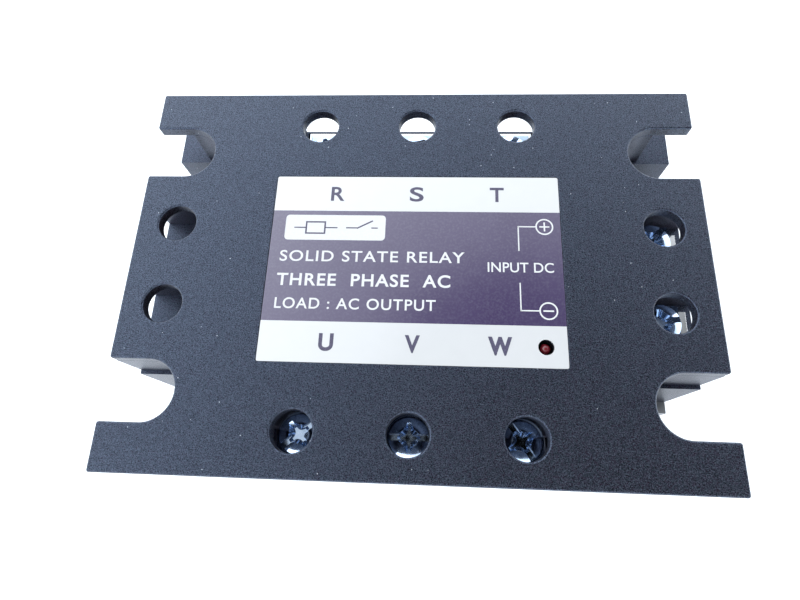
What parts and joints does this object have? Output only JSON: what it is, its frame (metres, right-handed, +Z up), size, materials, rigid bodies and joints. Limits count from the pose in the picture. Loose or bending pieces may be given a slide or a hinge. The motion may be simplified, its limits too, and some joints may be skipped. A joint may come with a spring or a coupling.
{
  "type": "solid state relay",
  "caption": "Flat block-shaped three-phase solid state relay with a metal base plate, open corner mounting notches and recessed screw terminals.",
  "frame": {"origin": "centre of the base plate's underside, which is the centre of the box's bottom", "axes": "+X along the length, towards the control terminals; +Y towards the line terminals R S T; +Z up, out of the label"},
  "size_m": [0.105, 0.0746, 0.033],
  "materials": {
    "base_metal": "milled aluminium, fine parallel grain, satin",
    "housing_plastic": "dark slate-grey moulded plastic with a fine matte grain",
    "label_film": "printed film, white bands and a dark mauve field, satin",
    "lamp_lens": "dark red lamp lens, glossy",
    "board_laminate": "green solder-resist on glass laminate",
    "ceramic": "white alumina ceramic",
    "moulded_epoxy": "black moulded epoxy",
    "potting_resin": "dark cast resin, slightly glossy",
    "tinned_copper": "tin-plated copper strip, bright with fine drawing lines",
    "zinc_steel": "bright zinc-plated steel",
    "capacitor_coat": "ochre dipped coating"
  },
  "bodies": {
    "housing": {"base_plate": "base_metal", "lower_housing": "housing_plastic", "terminal_frame": "housing_plastic", "upper_cover": "housing_plastic", "label": "label_film", "indicator_lamp": "lamp_lens", "control_board": "board_laminate", "potting_compound": "potting_resin", "base_screw_1": "zinc_steel", "base_screw_2": "zinc_steel", "base_screw_3": "zinc_steel", "base_screw_4": "zinc_steel", "substrate_r": "ceramic", "switch_module_r": "moulded_epoxy", "gate_lead_r": "tinned_copper", "optocoupler_r": "moulded_epoxy", "snubber_capacitor_r": "capacitor_coat", "substrate_s": "ceramic", "switch_module_s": "moulded_epoxy", "gate_lead_s": "tinned_copper", "optocoupler_s": "moulded_epoxy", "snubber_capacitor_s": "capacitor_coat", "substrate_t": "ceramic", "switch_module_t": "moulded_epoxy", "gate_lead_t": "tinned_copper", "optocoupler_t": "moulded_epoxy", "snubber_capacitor_t": "capacitor_coat", "r_busbar": "tinned_copper", "s_busbar": "tinned_copper", "t_busbar": "tinned_copper", "u_busbar": "tinned_copper", "v_busbar": "tinned_copper", "w_busbar": "tinned_copper", "plus_plate": "tinned_copper", "minus_plate": "tinned_copper", "r_nut": "zinc_steel", "s_nut": "zinc_steel", "t_nut": "zinc_steel", "u_nut": "zinc_steel", "v_nut": "zinc_steel", "w_nut": "zinc_steel", "plus_nut": "zinc_steel", "minus_nut": "zinc_steel"},
    "r_clamp_body": {"r_clamp": "zinc_steel"},
    "r_screw_body": {"r_screw": "zinc_steel"},
    "s_clamp_body": {"s_clamp": "zinc_steel"},
    "s_screw_body": {"s_screw": "zinc_steel"},
    "t_clamp_body": {"t_clamp": "zinc_steel"},
    "t_screw_body": {"t_screw": "zinc_steel"},
    "u_clamp_body": {"u_clamp": "zinc_steel"},
    "u_screw_body": {"u_screw": "zinc_steel"},
    "v_clamp_body": {"v_clamp": "zinc_steel"},
    "v_screw_body": {"v_screw": "zinc_steel"},
    "w_clamp_body": {"w_clamp": "zinc_steel"},
    "w_screw_body": {"w_screw": "zinc_steel"},
    "plus_clamp_body": {"plus_clamp": "zinc_steel"},
    "plus_screw_body": {"plus_screw": "zinc_steel"},
    "minus_clamp_body": {"minus_clamp": "zinc_steel"},
    "minus_screw_body": {"minus_screw": "zinc_steel"}
  },
  "joints": [
    {"name": "r_clamp_lift", "type": "slide", "parent": "housing", "child": "r_clamp_body", "axis": [0, 0, 1], "range_m": [-0.0014, 0.00438]},
    {"name": "r_screw_turn", "type": "hinge", "parent": "r_clamp_body", "child": "r_screw_body", "pos_m": [-0.0192, 0.0296, 0.024], "axis": [0, 0, 1], "range_deg": [-721, 2251]},
    {"name": "s_clamp_lift", "type": "slide", "parent": "housing", "child": "s_clamp_body", "axis": [0, 0, 1], "range_m": [-0.0014, 0.00438]},
    {"name": "s_screw_turn", "type": "hinge", "parent": "s_clamp_body", "child": "s_screw_body", "pos_m": [0, 0.0296, 0.024], "axis": [0, 0, 1], "range_deg": [-721, 2251]},
    {"name": "t_clamp_lift", "type": "slide", "parent": "housing", "child": "t_clamp_body", "axis": [0, 0, 1], "range_m": [-0.0014, 0.00438]},
    {"name": "t_screw_turn", "type": "hinge", "parent": "t_clamp_body", "child": "t_screw_body", "pos_m": [0.0192, 0.0296, 0.024], "axis": [0, 0, 1], "range_deg": [-721, 2251]},
    {"name": "u_clamp_lift", "type": "slide", "parent": "housing", "child": "u_clamp_body", "axis": [0, 0, 1], "range_m": [-0.00332, 0.00245]},
    {"name": "u_screw_turn", "type": "hinge", "parent": "u_clamp_body", "child": "u_screw_body", "pos_m": [-0.0192, -0.0296, 0.024], "axis": [0, 0, 1], "range_deg": [-1711, 1261]},
    {"name": "v_clamp_lift", "type": "slide", "parent": "housing", "child": "v_clamp_body", "axis": [0, 0, 1], "range_m": [-0.00332, 0.00245]},
    {"name": "v_screw_turn", "type": "hinge", "parent": "v_clamp_body", "child": "v_screw_body", "pos_m": [0, -0.0296, 0.024], "axis": [0, 0, 1], "range_deg": [-1711, 1261]},
    {"name": "w_clamp_lift", "type": "slide", "parent": "housing", "child": "w_clamp_body", "axis": [0, 0, 1], "range_m": [-0.00332, 0.00245]},
    {"name": "w_screw_turn", "type": "hinge", "parent": "w_clamp_body", "child": "w_screw_body", "pos_m": [0.0192, -0.0296, 0.024], "axis": [0, 0, 1], "range_deg": [-1711, 1261]},
    {"name": "plus_clamp_lift", "type": "slide", "parent": "housing", "child": "plus_clamp_body", "axis": [0, 0, 1], "range_m": [-0.00245, 0.00228]},
    {"name": "plus_screw_turn", "type": "hinge", "parent": "plus_clamp_body", "child": "plus_screw_body", "pos_m": [0.04485, 0.008, 0.024], "axis": [0, 0, 1], "range_deg": [-1261, 1171]},
    {"name": "minus_clamp_lift", "type": "slide", "parent": "housing", "child": "minus_clamp_body", "axis": [0, 0, 1], "range_m": [-0.00245, 0.00228]},
    {"name": "minus_screw_turn", "type": "hinge", "parent": "minus_clamp_body", "child": "minus_screw_body", "pos_m": [0.04485, -0.008, 0.024], "axis": [0, 0, 1], "range_deg": [-1261, 1171]}
  ],
  "couplings": [
    {"joint": "r_screw_turn", "follows": "r_clamp_lift", "rad_per_m": 8976},
    {"joint": "s_screw_turn", "follows": "s_clamp_lift", "rad_per_m": 8976},
    {"joint": "t_screw_turn", "follows": "t_clamp_lift", "rad_per_m": 8976},
    {"joint": "u_screw_turn", "follows": "u_clamp_lift", "rad_per_m": 8976},
    {"joint": "v_screw_turn", "follows": "v_clamp_lift", "rad_per_m": 8976},
    {"joint": "w_screw_turn", "follows": "w_clamp_lift", "rad_per_m": 8976},
    {"joint": "plus_screw_turn", "follows": "plus_clamp_lift", "rad_per_m": 8976},
    {"joint": "minus_screw_turn", "follows": "minus_clamp_lift", "rad_per_m": 8976}
  ]
}
